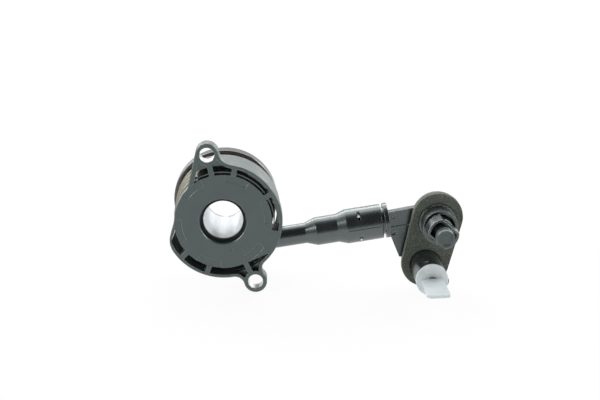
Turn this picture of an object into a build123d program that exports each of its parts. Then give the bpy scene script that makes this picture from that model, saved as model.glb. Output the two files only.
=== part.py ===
from build123d import *
import os
from math import asin, cos, degrees, radians, sin, sqrt

# A concentric slave cylinder that works a car's clutch. It bolts to the gearbox round the input
# shaft and pushes a release bearing along its own axis. A feed pipe leads to an adaptor with the
# line port and the bleed port, which pass through the wall of the bell housing.
# Millimetres. Y runs along the clutch axis from the gearbox to the clutch, X along the feed pipe
# and Z up, and the origin is the guide tube's centre at the mounting face.

# Gaps, each on the radius or between two faces
slide_gap = 0.08
seat_gap = 0.05
rolling_gap = 0.3
stop_gap = 0.1

# Guide tube, which the gearbox input shaft runs through
tube_bore_r = 11.2
tube_wall = 0.8
tube_front = 5.0
tube_short = 0.5
tube_notch_w = 3.0
tube_notch_depth = 1.0
mouth_seal_t = 1.5
tube_r = tube_bore_r + tube_wall

# Steps of the section outwards from the tube, each from the piece before
mouth_step = 1.0
chamber_w = 7.0
cylinder_wall = 2.5
carrier_step_gap = 1.9
spring_from_step = 3.4
carrier_past_spring = 3.0
disc_past_spring = 0.7
wall_past_disc = 6.0
mouth_r = tube_r + mouth_step
cylinder_bore_r = tube_r + chamber_w
cylinder_r = cylinder_bore_r + cylinder_wall
carrier_step_r = cylinder_r + carrier_step_gap
spring_r = carrier_step_r + spring_from_step
carrier_r = spring_r + carrier_past_spring
disc_r = spring_r + disc_past_spring
wall_r = disc_r + wall_past_disc

# Housing: bore and cylinder
mouth_chamfer = 0.5
flange_t = 6.4
chamber_floor = 10.0
cylinder_back = 29.5
seal_groove_front = 6.9

# Housing: outer wall, ears and the wall that runs straight from the top ear to the disc
wall_t = 1.8
straight_wall_t = 2.9
straight_wall_foot = 135.5
lobe_start = 202.0
lobe_round_r = 12.0
lobe_blend_r = 10.0
ear_r = 6.5
ear_t = 7.6
ear_boss_r = 6.3
top_ear_angle = 102.4
bottom_ear_angle = -63.1
top_blend_r = 9.0
bottom_blend_r = 5.5
edge_break = 0.35
ear_reach = wall_r + ear_r

# Housing: pockets, ribs and the shallow pads of the mounting face
pocket_inset = 1.2
rib_w = 2.9
rib_angles = (77.4, 31.0, 253.0, 222.0)
top_web_depth = 2.5
bottom_web_depth = 4.6
solid_from = -36.0
solid_to = -10.0
wedge_start = -59.1
wedge_end = -34.2
pad_count = 6
pad_w = 4.1
pad_depth = 0.4
pad_start = 57.0
pad_width_angle = 30.0
ledge_w = 1.3
ledge_depth = 2.6
ledge_spans = ((38.0, 62.0), (-3.0, 28.0))
gate_mark_r = 0.6
gate_mark_at = (4.8, -16.7)
pocket_r = wall_r - pocket_inset
pad_inner_r = disc_r - pad_w
ledge_r = wall_r - wall_t - ledge_w

# Housing: skirt and the thin wall that guides the spring
skirt_step = 0.8
skirt_t = 1.1
skirt_draft = 0.7
skirt_inner_draft = 1.5
skirt_back = 25.0
skirt_start = -157.0
skirt_end = 122.0
guide_wall_t = 0.7
guide_wall_front = 1.6
guide_wall_back = 13.0
guide_wall_start = -4.0

# Ear sleeves, moulded in, for the mounting bolts
sleeve_bore_r = 4.25
sleeve_wall = 0.6
sleeve_lip = 0.5
sleeve_r = sleeve_bore_r + sleeve_wall

# Preload spring
spring_wire_r = 1.25
spring_pitch = 7.3
spring_start = -40.0
rest_pad_count = 7
rest_pad_w = 3.0

# Bearing carrier, a pressed steel cup
seat_front = 40.0
sheet = 1.0
carrier_depth = 6.8
carrier_rise = 4.0
carrier_hole_gap = 2.5
washer_t = 0.8
washer_rise = 0.5
carrier_back = seat_front + carrier_depth
carrier_hole_r = tube_r + carrier_hole_gap

# Piston, its seals and the stop ring, measured back from the plate that the piston pushes
stroke = 14.0
seal_t = 2.3
support_ring_t = 0.7
seal_lip = 1.0
seal_notch = 1.6
wiper_t = 2.0
wiper_depth = 1.6
wiper_back = 3.6
stop_ring_t = 0.8
stop_ring_bite = 0.3
stop_ring_reach = 1.2
stop_ring_back = 0.9
o_ring_r = 0.85
o_ring_groove_w = 2.0
piston_front = seat_front + carrier_rise
tube_back = piston_front - tube_short
stop_ring_front = piston_front - stop_ring_back - stop_ring_t
wiper_front = piston_front - wiper_back - wiper_t
seal_groove_r = tube_r + 2 * o_ring_r + 2 * seat_gap

# Release bearing, measured from the ball line and the pitch circle
ball_r = 2.0
ball_count = 14
ball_line_past_piston = 4.0
pitch_in_step = 0.5
land_step = 1.0
race_groove_gap = 0.05
race_past_seat = 2.4
race_half = 2.0
inner_race_w = 5.9
inner_race_half = 2.2
nose_gap = 0.7
nose_t = 2.3
nose_step = 1.4
cage_t = 1.4
cage_before = 2.6
cage_after = 0.9
shield_t = 0.6
ball_line = piston_front + ball_line_past_piston
pitch_r = carrier_step_r - pitch_in_step
race_land_r = pitch_r + land_step
inner_land_r = pitch_r - land_step
race_front = seat_front + race_past_seat
race_back = ball_line + race_half
inner_race_r = pitch_r - inner_race_w
inner_race_front = ball_line - inner_race_half
nose_front = race_back + nose_gap
nose_back = nose_front + nose_t
nose_r = pitch_r + nose_step
cage_front = ball_line - cage_before
cage_back = ball_line + cage_after

# Feed pipe, from its root on the housing wall to its socket
root_depth = 10.0
root_height = -12.1
pipe_turn = 5.0
pipe_rise = 7.8
pipe_inside = -9.0
small_end = 13.0
middle_start = 19.2
middle_end = 31.3
large_start = 36.6
pipe_end = 56.9
small_r = 5.8
middle_r = 8.0
large_r = 9.8
socket_start = 38.6
socket_r = 7.7
duct_r = 1.6
duct_end_x = 8.0
duct_block_t = 5.5

# Spring clips of the pipe and of the line port
clip_wire_r = 0.75
pipe_clip_at = 43.8
pipe_clip_offset = 7.0
pipe_slot_w = 1.7
pipe_slot_inner = 5.0
pipe_slot_outer = 8.9
line_clip_at = 19.0
line_clip_offset = 4.7
line_clip_turn = -40.0
line_slot_w = 1.8
clip_bridge_gap = 0.6

# Adaptor: spigot, collar and passages
spigot_front = 40.2
spigot_groove_w = 2.2
o_ring_seats = (48.5, 52.5)
collar_gap = 1.5
collar_t = 2.4
collar_r = 10.0
conduit_r = 5.2
bleed_from_collar = 29.1
plate_stand = 13.1
port_drop = 1.3

# Adaptor: plate and gasket, drawn round the ports from the bleed port's centre
line_port_at = (-6.5, -25.4)
top_lobe_at = (0.1, 2.2)
top_lobe_r = 14.4
low_lobe_at = (-6.6, -24.9)
low_lobe_r = 13.5
gasket_t = 4.0
plate_t = 3.0
plate_inset = 0.6
tab_w = 3.6
tab_reach = 2.2
low_tab_angle = -114.0
column_r = 7.0
column_back = 19.0
riser_r = 4.6

# Adaptor: web between the collar and the plate, its left side a step in from the collar's front
web_front = 6.0
web_back = 10.5
web_recess = 0.6
web_in = 0.43
web_mark_r = 1.25
web_mark_depth = 0.5
collar_front = pipe_end + collar_gap
web_left = web_in - bleed_from_collar * cos(radians(pipe_rise))
web_corners = (
    (web_left, 4.2),
    (-5.0, 8.1),
    (-2.0, -8.0),
    (-7.5, -24.0),
    (-20.8, -22.2),
    (web_left + 2.4, -9.2),
)
web_recess_corners = ((web_left - 1.1, 3.3), (-4.0, 7.6), (-8.0, -2.0), (web_left - 1.1, -5.0))
web_marks = ((web_left + 4.0, 1.5), (web_left + 4.2, -8.1))

# Bleed port, screw and cap
cup_r = 10.0
cup_bore_r = 8.2
cup_floor = 1.0
cup_rim = 11.0
cup_step_r = 10.6
cup_step = 1.0
bleed_bore_r = 5.0
bleed_lift = 1.5
screw_tip = -11.2
screw_thread_r = 7.9
screw_thread_front = 4.0
head_back = 13.0
head_front = 22.0
head_r = 8.8
head_flats = 11.8
head_wall = 1.3
head_floor = 1.6
head_turn = -40.0
neck_r = 6.6
nipple_r = 3.3
nipple_bore_r = 1.1
nipple_end = 28.6
bleed_o_rings_at = (-6.0, -2.4)
cap_r = 5.1
cap_waist_r = 4.5
cap_back = 15.0
cap_end = 31.0
cap_head_t = 3.2
cap_bead_at = 24.6
cap_bead_t = 1.6
cap_dish_r = 3.7
cap_dish_depth = 0.9

# Line port and its transport plug
line_port_r = 8.8
line_port_end = 24.0
line_socket_r = 6.05
line_socket_floor = 4.0
line_o_ring_at = 10.0
plug_flange_r = 9.0
plug_flange_t = 2.0
plug_collar_t = 3.2
plug_spigot_r = 3.6
plug_spigot_end = 7.0
plug_ring_r = 4.8
plug_ring_t = 1.0
plug_ring_h = 0.6
plug_dimple_r = 2.5
plug_dimple_depth = 0.8
grip_root_w = 11.3
grip_end_w = 13.6
grip_t = 1.7
grip_length = 26.0
grip_round_r = 3.0


def polar(radius, angle):
    """Point at a radius and an angle, for a drawing across an axis."""
    return (radius * cos(radians(angle)), radius * sin(radians(angle)))


def across(depth):
    """Plane across the clutch axis, a depth behind the mounting face, as the gearbox sees it."""
    return Plane(origin=(0, depth, 0), x_dir=(1, 0, 0), z_dir=(0, -1, 0))


def block(left, low, right, high, mode=Mode.ADD):
    """Rectangle between two corners, for a section or a drawing."""
    with Locations(((left + right) / 2, (low + high) / 2)):
        Rectangle(abs(right - left), abs(high - low), mode=mode)


def sector(radius, start, end, mode=Mode.ADD):
    """Slice of a disc between two angles."""
    with BuildLine() as edge:
        Line((0, 0), polar(radius, start))
        CenterArc((0, 0), radius, start, end - start)
        Line(polar(radius, end), (0, 0))
    make_face(edge.edges(), mode=mode)


def ear_blend(ear_angle, side, blend_r, inset=0.0, mode=Mode.ADD):
    """Web between the disc and one side of an ear, with the hollow curve that joins them."""
    wall = wall_r - inset
    ear = ear_r - inset
    hollow = blend_r + inset
    along = (ear_reach**2 + (wall + hollow) ** 2 - (ear + hollow) ** 2) / (2 * ear_reach)
    beside = side * sqrt((wall + hollow) ** 2 - along**2)
    ear_centre = Vector(*polar(ear_reach, ear_angle))
    centre = Vector(along, beside).rotate(Axis.Z, ear_angle)
    near_wall = centre * (wall / (wall + hollow))
    near_ear = ear_centre + (centre - ear_centre) * (ear / (ear + hollow))
    deepest = centre + ((near_wall + near_ear) * 0.5 - centre).normalized() * hollow
    with BuildLine() as edge:
        Polyline(near_ear, ear_centre, (0, 0), near_wall)
        ThreePointArc(near_wall, deepest, near_ear)
    make_face(edge.edges(), mode=mode)


def straight_wall(inset=0.0, mode=Mode.ADD):
    """Web left of the top ear, whose outer side is one straight line from the ear to the disc."""
    foot = Vector(*polar(disc_r, straight_wall_foot))
    ear = Vector(*polar(ear_reach, top_ear_angle))
    span = ear - foot
    direction = span.normalized().rotate(Axis.Z, degrees(asin(ear_r / span.length)))
    touch = foot + direction * sqrt(span.length**2 - ear_r**2)
    inward = direction.rotate(Axis.Z, -90) * inset
    with BuildLine() as edge:
        Polyline((0, 0), ear, touch + inward, foot + inward, (0, 0))
    make_face(edge.edges(), mode=mode)


def lobe(radius, inset=0.0):
    """Web from the left side of the disc out to the start of the outer wall."""
    foot = Vector(-disc_r, 0)
    corner = Vector(*polar(radius, lobe_start))
    inward = (corner - foot).normalized().rotate(Axis.Z, 90) * inset
    with BuildLine() as edge:
        Polyline((0, 0), foot + inward, corner, (0, 0))
    make_face(edge.edges())


def bar(width, reach, angle, mode=Mode.ADD):
    """Radial rib from the centre out to a reach."""
    with BuildLine() as edge:
        out = Vector(*polar(reach, angle))
        aside = Vector(*polar(width / 2, angle + 90))
        Polyline(aside, out + aside, out - aside, aside * -1, aside)
    make_face(edge.edges(), mode=mode)


def outline():
    """Outline of the mounting face."""
    Circle(disc_r)
    sector(wall_r, lobe_start - 360, top_ear_angle)
    lobe(wall_r)
    ear_blend(top_ear_angle, -1, top_blend_r)
    ear_blend(bottom_ear_angle, 1, bottom_blend_r)
    ear_blend(bottom_ear_angle, -1, bottom_blend_r)
    straight_wall()
    with Locations(*ear_places):
        Circle(ear_r)


def pockets():
    """The openings of the mounting face that lie between the ribs."""
    sector(wall_r - wall_t, lobe_start - 360, solid_from)
    sector(wall_r - wall_t, solid_to, top_ear_angle)
    lobe(wall_r - wall_t, wall_t)
    ear_blend(top_ear_angle, -1, top_blend_r, wall_t)
    ear_blend(bottom_ear_angle, 1, bottom_blend_r, wall_t)
    ear_blend(bottom_ear_angle, -1, bottom_blend_r, wall_t)
    straight_wall(straight_wall_t)
    Circle(disc_r, mode=Mode.SUBTRACT)
    sector(ear_reach, solid_from, solid_to, Mode.SUBTRACT)
    with Locations(*ear_places):
        Circle(ear_boss_r, mode=Mode.SUBTRACT)
    for angle in rib_angles:
        bar(rib_w, ear_reach, angle, Mode.SUBTRACT)
    for angle in (top_ear_angle, bottom_ear_angle):
        bar(rib_w, ear_reach, angle, Mode.SUBTRACT)
    with BuildLine() as wedge:
        near_disc = polar(disc_r + edge_break, wedge_start)
        Polyline((0, 0), near_disc, polar(pocket_r, wedge_end), (0, 0))
    make_face(wedge.edges(), mode=Mode.SUBTRACT)


ear_places = [polar(ear_reach, top_ear_angle), polar(ear_reach, bottom_ear_angle)]

# Planes and points of the feed pipe and of the ports, which stand square to it
port_dir = Vector(sin(radians(pipe_turn)), -cos(radians(pipe_turn)), 0)
level_dir = Vector(cos(radians(pipe_turn)), sin(radians(pipe_turn)), 0)
pipe_dir = level_dir * cos(radians(pipe_rise)) + Vector(0, 0, sin(radians(pipe_rise)))
root = Vector(wall_r, root_depth, root_height)
pipe_axis = Axis(root, pipe_dir)
along_pipe = Plane(origin=root, x_dir=pipe_dir, z_dir=port_dir)
bleed_reach = collar_front + bleed_from_collar
port_origin = root + pipe_dir * bleed_reach + port_dir * plate_stand + Vector(0, 0, -port_drop)
port_plane = Plane(origin=port_origin, x_dir=level_dir, z_dir=port_dir)
bleed_axis = Axis(port_origin, port_dir)
line_axis = Axis(port_plane.from_local_coords(Vector(*line_port_at)), port_dir)
bleed_section = Plane(origin=port_origin, x_dir=level_dir, z_dir=(0, 0, -1))
line_section = Plane(origin=line_axis.position, x_dir=level_dir, z_dir=(0, 0, -1))


def across_pipe(reach):
    """Plane across the feed pipe, a reach from its root."""
    return Plane(origin=root + pipe_dir * reach, x_dir=port_dir, z_dir=pipe_dir)


def plate_outline(inset):
    """Pear shape round both ports, for the adaptor's plate and its gasket."""
    with BuildSketch(mode=Mode.PRIVATE) as lobes:
        with Locations(top_lobe_at):
            Circle(top_lobe_r - inset)
        with Locations(low_lobe_at):
            Circle(low_lobe_r - inset)
    make_hull(lobes.edges())


duct_end = (duct_end_x - root.X) / pipe_dir.X
inlet = root + pipe_dir * duct_end
plug_face = line_port_end + plug_flange_t
line_clip_plane = Plane(
    origin=line_axis.position + port_dir * line_clip_at,
    x_dir=level_dir.rotate(Axis((0, 0, 0), port_dir), line_clip_turn),
    z_dir=port_dir,
)

os.makedirs("parts", exist_ok=True)

# Housing, one moulding of glass-filled nylon
spring_low = flange_t + spring_wire_r + seat_gap
skirt_r = wall_r - skirt_step
skirt_inner_r = skirt_r - skirt_t
with BuildPart() as housing:
    # Flange, ears and outer wall
    with BuildSketch(across(0)) as face:
        outline()
        lobe_corner = face.vertices().sort_by_distance(polar(wall_r, lobe_start))[0]
        fillet(lobe_corner, lobe_round_r)
        lobe_foot = face.vertices().sort_by_distance((-disc_r, 0))[0]
        fillet(lobe_foot, lobe_blend_r)
    extrude(amount=-flange_t)
    chamfer(housing.edges().group_by(Axis.Y)[0], edge_break)
    with BuildSketch(across(flange_t - 1)):
        with Locations(*ear_places):
            Circle(ear_r)
    extrude(amount=flange_t - 1 - ear_t)
    # Shallow webs beside the ears, then the pockets right through
    for ear_angle, depth in ((top_ear_angle, top_web_depth), (bottom_ear_angle, bottom_web_depth)):
        with BuildSketch(across(0)):
            pockets()
            sector(2 * ear_reach, ear_angle + 90, ear_angle + 270, Mode.SUBTRACT)
        extrude(amount=-depth, mode=Mode.SUBTRACT)
    with BuildSketch(across(0)):
        pockets()
        Circle(pocket_r, mode=Mode.INTERSECT)
    extrude(amount=-flange_t, mode=Mode.SUBTRACT)
    # Ledges on the outer wall inside two pockets
    for start, end in ledge_spans:
        with BuildSketch(across(ledge_depth)):
            sector(wall_r - wall_t + edge_break, start, end)
            Circle(ledge_r, mode=Mode.SUBTRACT)
        extrude(amount=ledge_depth - flange_t)
    # Skirt behind the flange, and the thin wall round the spring
    with BuildSketch(Plane.XY):
        with BuildLine():
            Polyline(
                (skirt_inner_r, flange_t),
                (skirt_r, flange_t),
                (skirt_r - skirt_draft, skirt_back),
                (skirt_inner_r - skirt_inner_draft, skirt_back),
                (skirt_inner_r, flange_t),
            )
        make_face()
    revolve(axis=Axis.Y)
    with BuildSketch(across(flange_t)):
        sector(2 * wall_r, skirt_end, skirt_start + 360)
    extrude(amount=flange_t - skirt_back, mode=Mode.SUBTRACT)
    with BuildSketch(across(guide_wall_front)):
        guide_wall_r = spring_r + spring_wire_r + rolling_gap
        sector(guide_wall_r + guide_wall_t, guide_wall_start, skirt_end)
        Circle(guide_wall_r, mode=Mode.SUBTRACT)
    extrude(amount=guide_wall_front - guide_wall_back)
    # Cylinder, with the chamber's floor behind the flange
    with BuildSketch(Plane.XY):
        block(tube_r, flange_t - 1, cylinder_r, cylinder_back)
    revolve(axis=Axis.Y)
    # Seat of the feed pipe in the outer wall, and the block that leads its duct to the chamber
    with BuildSketch(across_pipe(pipe_inside)):
        Circle(small_r + seat_gap)
    extrude(amount=small_end - pipe_inside, mode=Mode.SUBTRACT)
    with BuildSketch(across(flange_t / 2)):
        sector(skirt_inner_r, solid_from, solid_to)
        Circle(cylinder_r - 1, mode=Mode.SUBTRACT)
    extrude(amount=-flange_t / 2 - duct_block_t)
    # Short rests under the spring's first turn, each as high as the wire is there
    for index in range(rest_pad_count):
        turned = (index + 1) * 360 / (rest_pad_count + 2)
        rest_h = spring_low - spring_wire_r + spring_pitch * (turned - 4) / 360 - seat_gap
        with BuildSketch(across(flange_t - 1)):
            bar(rest_pad_w, disc_r - 0.2, spring_start - turned)
            Circle(spring_r - spring_wire_r, mode=Mode.SUBTRACT)
        extrude(amount=flange_t - 1 - rest_h)
    # Mouth for the seal and the tube's flange, tube seat, seal groove and chamber
    with BuildSketch(Plane.XY):
        block(0, -1, mouth_r, tube_front + tube_wall)
        block(0, -1, tube_r + seat_gap, cylinder_back + 1)
        block(0, seal_groove_front, seal_groove_r, seal_groove_front + o_ring_groove_w)
        block(0, chamber_floor, cylinder_bore_r, cylinder_back + 1)
        with BuildLine():
            Polyline(
                (mouth_r - 1, -1),
                (mouth_r + mouth_chamfer + 1, -1),
                (mouth_r - 1, mouth_chamfer + 1),
                (mouth_r - 1, -1),
            )
        make_face()
    revolve(axis=Axis.Y, mode=Mode.SUBTRACT)
    # Pads and gate mark of the mounting face
    with BuildSketch(across(0)):
        for index in range(pad_count):
            start = pad_start + index * 360 / pad_count
            sector(disc_r, start, start + pad_width_angle)
        Circle(pad_inner_r, mode=Mode.SUBTRACT)
        with Locations(gate_mark_at):
            Circle(gate_mark_r)
    extrude(amount=-pad_depth, mode=Mode.SUBTRACT)
    # Ear holes round the sleeves
    with BuildSketch(across(0)):
        with Locations(*ear_places):
            Circle(sleeve_bore_r)
    extrude(amount=-ear_t, mode=Mode.SUBTRACT)
    with BuildSketch(across(sleeve_lip)):
        with Locations(*ear_places):
            Circle(sleeve_r)
    extrude(amount=sleeve_lip - ear_t, mode=Mode.SUBTRACT)
    # Duct from the feed pipe, and its way up into the chamber
    with BuildSketch(across_pipe(duct_end)):
        Circle(duct_r)
    extrude(amount=-duct_end, mode=Mode.SUBTRACT)
    with BuildSketch(across(inlet.Y)):
        with Locations((inlet.X, inlet.Z)):
            Circle(duct_r)
    extrude(amount=inlet.Y - chamber_floor - 1, mode=Mode.SUBTRACT)
housing.part.label = "housing"
export_step(housing.part, "parts/housing.step")

# Ear sleeves, steel, moulded into the ears under a thin lip
with BuildPart() as ear_sleeves:
    with BuildSketch(across(sleeve_lip)):
        with Locations(*ear_places):
            Circle(sleeve_r)
            Circle(sleeve_bore_r, mode=Mode.SUBTRACT)
    extrude(amount=sleeve_lip - ear_t)
ear_sleeves.part.label = "ear_sleeves"
export_step(ear_sleeves.part, "parts/ear_sleeves.step")

# Guide tube, drawn steel, flanged at the gearbox end and notched at the other
with BuildPart() as guide_tube:
    with BuildSketch(Plane.XY):
        block(tube_bore_r, tube_front, tube_r, tube_back)
        block(tube_bore_r, tube_front, mouth_r - seat_gap, tube_front + tube_wall - seat_gap)
        block(
            tube_r - stop_ring_bite,
            stop_ring_front,
            tube_r + 1,
            stop_ring_front + stop_ring_t,
            Mode.SUBTRACT,
        )
    revolve(axis=Axis.Y)
    with BuildSketch(across(tube_back)):
        with Locations((0, -tube_r)):
            Rectangle(tube_notch_w, tube_r)
    extrude(amount=tube_notch_depth, mode=Mode.SUBTRACT)
guide_tube.part.label = "guide_tube"
export_step(guide_tube.part, "parts/guide_tube.step")

# Ring seal in the mouth of the housing, in front of the tube's flange
with BuildPart() as gearbox_seal:
    with BuildSketch(Plane.XY) as ring_section:
        block(
            tube_bore_r + stop_gap, tube_front - mouth_seal_t, mouth_r - seat_gap, tube_front - seat_gap
        )
        lips = ring_section.vertices().group_by(Axis.Y)[0]
        chamfer(lips, seal_lip / 2)
    revolve(axis=Axis.Y)
gearbox_seal.part.label = "gearbox_seal"
export_step(gearbox_seal.part, "parts/gearbox_seal.step")

# O-ring between the guide tube and the housing
with BuildPart() as tube_seal:
    with BuildSketch(Plane.XY):
        with Locations((tube_r + o_ring_r + seat_gap, seal_groove_front + o_ring_groove_w / 2)):
            Circle(o_ring_r)
    revolve(axis=Axis.Y)
tube_seal.part.label = "tube_seal"
export_step(tube_seal.part, "parts/tube_seal.step")

# Stop ring, an open spring ring in the tube's groove that keeps the piston on
with BuildPart() as stop_ring:
    with BuildSketch(Plane.XY):
        block(
            tube_r - stop_ring_bite + seat_gap,
            stop_ring_front + seat_gap,
            tube_r + stop_ring_reach,
            stop_ring_front + stop_ring_t - seat_gap,
        )
    revolve(axis=Axis.Y)
    with BuildSketch(across(stop_ring_front)):
        with Locations((0, -tube_r)):
            Rectangle(tube_notch_w, tube_r)
    extrude(amount=-stop_ring_t, mode=Mode.SUBTRACT)
stop_ring.part.label = "stop_ring"
export_step(stop_ring.part, "parts/stop_ring.step")

# Piston with its counterbore for the stop ring and its groove for the wiper
seal_front = chamber_floor + stop_gap + stroke
support_front = seal_front + seal_t
piston_back = support_front + support_ring_t
with BuildPart() as annular_piston:
    with BuildSketch(Plane.XY):
        block(tube_r + slide_gap, piston_back, cylinder_bore_r - slide_gap, piston_front)
        block(
            0,
            stop_ring_front - stop_gap,
            tube_r + stop_ring_reach + rolling_gap,
            piston_front + 1,
            Mode.SUBTRACT,
        )
        block(0, wiper_front, tube_r + wiper_depth, wiper_front + wiper_t, Mode.SUBTRACT)
    revolve(axis=Axis.Y)
annular_piston.part.label = "annular_piston"
export_step(annular_piston.part, "parts/annular_piston.step")

# Piston seal with two lips towards the fluid, and the ring that backs it
seal_inner = tube_r + slide_gap / 2
seal_outer = cylinder_bore_r - slide_gap / 2
with BuildPart() as piston_seal:
    with BuildSketch(Plane.XY):
        with BuildLine():
            Polyline(
                (seal_inner, seal_front),
                (seal_inner + seal_lip, seal_front),
                (seal_inner + 2 * seal_lip, seal_front + seal_notch),
                (seal_outer - 2 * seal_lip, seal_front + seal_notch),
                (seal_outer - seal_lip, seal_front),
                (seal_outer, seal_front),
                (seal_outer, support_front),
                (seal_inner, support_front),
                (seal_inner, seal_front),
            )
        make_face()
    revolve(axis=Axis.Y)
piston_seal.part.label = "piston_seal"
export_step(piston_seal.part, "parts/piston_seal.step")

with BuildPart() as seal_support_ring:
    with BuildSketch(Plane.XY):
        block(tube_r + slide_gap, support_front, cylinder_bore_r - slide_gap, piston_back)
    revolve(axis=Axis.Y)
seal_support_ring.part.label = "seal_support_ring"
export_step(seal_support_ring.part, "parts/seal_support_ring.step")

# Wiper in the piston that keeps dust off the tube
with BuildPart() as wiper_ring:
    with BuildSketch(Plane.XY):
        block(
            seal_inner,
            wiper_front + seat_gap,
            tube_r + wiper_depth - seat_gap,
            wiper_front + wiper_t - seat_gap,
        )
    revolve(axis=Axis.Y)
wiper_ring.part.label = "wiper_ring"
export_step(wiper_ring.part, "parts/wiper_ring.step")

# Preload spring, round wire, from the housing's rests to the carrier, where it is ground flat
with BuildPart() as coil_from_top:
    with BuildLine():
        coil = Helix(
            spring_pitch,
            seat_front - spring_low,
            spring_r,
            center=(0, spring_low, 0),
            direction=(0, 1, 0),
        )
    with BuildSketch(Plane(origin=coil @ 0, z_dir=coil % 0)):
        Circle(spring_wire_r)
    sweep(is_frenet=True)
with BuildPart() as preload_spring:
    add(coil_from_top.part, rotation=(0, 90 - spring_start, 0))
    with BuildSketch(across(seat_front - seat_gap)):
        Circle(carrier_r)
    extrude(amount=-2 * spring_wire_r, mode=Mode.SUBTRACT)
preload_spring.part.label = "preload_spring"
export_step(preload_spring.part, "parts/preload_spring.step")

# Bearing carrier, a pressed cup: seat for the spring, step, and plate that the piston pushes
with BuildPart() as bearing_carrier:
    with BuildSketch(Plane.XY) as cup_section:
        with BuildLine():
            Polyline(
                (carrier_r, seat_front),
                (carrier_r, carrier_back),
                (carrier_r - sheet, carrier_back),
                (carrier_r - sheet, seat_front + sheet),
                (carrier_step_r + sheet, seat_front + sheet),
                (carrier_step_r + sheet, piston_front + sheet),
                (carrier_hole_r, piston_front + sheet),
                (carrier_hole_r, piston_front),
                (carrier_step_r, piston_front),
                (carrier_step_r, seat_front),
                (carrier_r, seat_front),
            )
        make_face()
        fillet(cup_section.vertices().sort_by_distance((carrier_r, seat_front))[0], 0.8 * sheet)
    revolve(axis=Axis.Y)
bearing_carrier.part.label = "bearing_carrier"
export_step(bearing_carrier.part, "parts/bearing_carrier.step")

# Coned spring washer that lets the bearing centre itself on the carrier
washer_inner = carrier_step_r + sheet + rolling_gap
washer_outer = carrier_r - sheet - rolling_gap
with BuildPart() as centring_washer:
    with BuildSketch(Plane.XY):
        with BuildLine():
            Polyline(
                (washer_inner, seat_front + sheet),
                (washer_outer, seat_front + sheet + washer_rise),
                (washer_outer, seat_front + sheet + washer_rise + washer_t),
                (washer_inner, seat_front + sheet + washer_t),
                (washer_inner, seat_front + sheet),
            )
        make_face()
    revolve(axis=Axis.Y)
centring_washer.part.label = "centring_washer"
export_step(centring_washer.part, "parts/centring_washer.step")

# Release bearing: fixed race, rotating race with its domed nose, cage, balls and shield
with BuildPart() as bearing_fixed_race:
    with BuildSketch(Plane.XY):
        block(carrier_step_r + sheet + seat_gap, race_front, carrier_r - sheet - seat_gap, race_back)
        block(race_land_r, cage_front, carrier_step_r + sheet + 1, race_back)
        with Locations((pitch_r, ball_line)):
            Circle(ball_r + race_groove_gap, mode=Mode.SUBTRACT)
    revolve(axis=Axis.Y)
bearing_fixed_race.part.label = "bearing_fixed_race"
export_step(bearing_fixed_race.part, "parts/bearing_fixed_race.step")

with BuildPart() as bearing_rotating_race:
    with BuildSketch(Plane.XY) as race_section:
        block(inner_race_r, inner_race_front, inner_land_r, nose_front)
        block(inner_race_r, nose_front, nose_r, nose_back)
        with Locations((pitch_r, ball_line)):
            Circle(ball_r + race_groove_gap, mode=Mode.SUBTRACT)
        nose_corners = race_section.vertices().group_by(Axis.Y)[-1].sort_by(Axis.X)
        fillet(nose_corners[-1], nose_back - nose_front - sheet / 2)
    revolve(axis=Axis.Y)
bearing_rotating_race.part.label = "bearing_rotating_race"
export_step(bearing_rotating_race.part, "parts/bearing_rotating_race.step")

with BuildPart() as bearing_cage:
    with BuildSketch(Plane.XY):
        block(pitch_r - cage_t / 2, cage_front, pitch_r + cage_t / 2, cage_back)
    revolve(axis=Axis.Y)
    with Locations(across(ball_line)):
        with PolarLocations(pitch_r, ball_count):
            Sphere(ball_r + 3 * race_groove_gap, mode=Mode.SUBTRACT)
bearing_cage.part.label = "bearing_cage"
export_step(bearing_cage.part, "parts/bearing_cage.step")

with BuildPart() as bearing_balls:
    with Locations(across(ball_line)):
        with PolarLocations(pitch_r, ball_count):
            Sphere(ball_r)
bearing_balls.part.label = "bearing_balls"
export_step(bearing_balls.part, "parts/bearing_balls.step")

with BuildPart() as bearing_shield:
    with BuildSketch(Plane.XY):
        block(nose_r + rolling_gap, race_back, carrier_r - sheet - seat_gap, race_back + shield_t)
    revolve(axis=Axis.Y)
bearing_shield.part.label = "bearing_shield"
export_step(bearing_shield.part, "parts/bearing_shield.step")

# Feed pipe: stepped moulding whose root fits the round wall and whose end is the adaptor's socket
with BuildPart() as feed_pipe:
    with BuildSketch(along_pipe):
        with BuildLine():
            Polyline(
                (pipe_inside, 0),
                (pipe_inside, small_r),
                (small_end, small_r),
                (middle_start, middle_r),
                (middle_end, middle_r),
                (large_start, large_r),
                (pipe_end - edge_break, large_r),
                (pipe_end, large_r - edge_break),
                (pipe_end, 0),
                (pipe_inside, 0),
            )
        make_face()
        block(pipe_inside, 0, socket_start, duct_r, Mode.SUBTRACT)
        block(socket_start, 0, pipe_end, socket_r, Mode.SUBTRACT)
    revolve(axis=pipe_axis)
    with BuildSketch(across(0)):
        Circle(skirt_inner_r + seat_gap)
    extrude(amount=-skirt_back, mode=Mode.SUBTRACT)
    with BuildSketch(along_pipe.offset(-2 * large_r)):
        for side in (-1, 1):
            block(
                pipe_clip_at - pipe_slot_w / 2,
                side * pipe_slot_inner,
                pipe_clip_at + pipe_slot_w / 2,
                side * pipe_slot_outer,
            )
    extrude(amount=4 * large_r, mode=Mode.SUBTRACT)
feed_pipe.part.label = "feed_pipe"
export_step(feed_pipe.part, "parts/feed_pipe.step")

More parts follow.
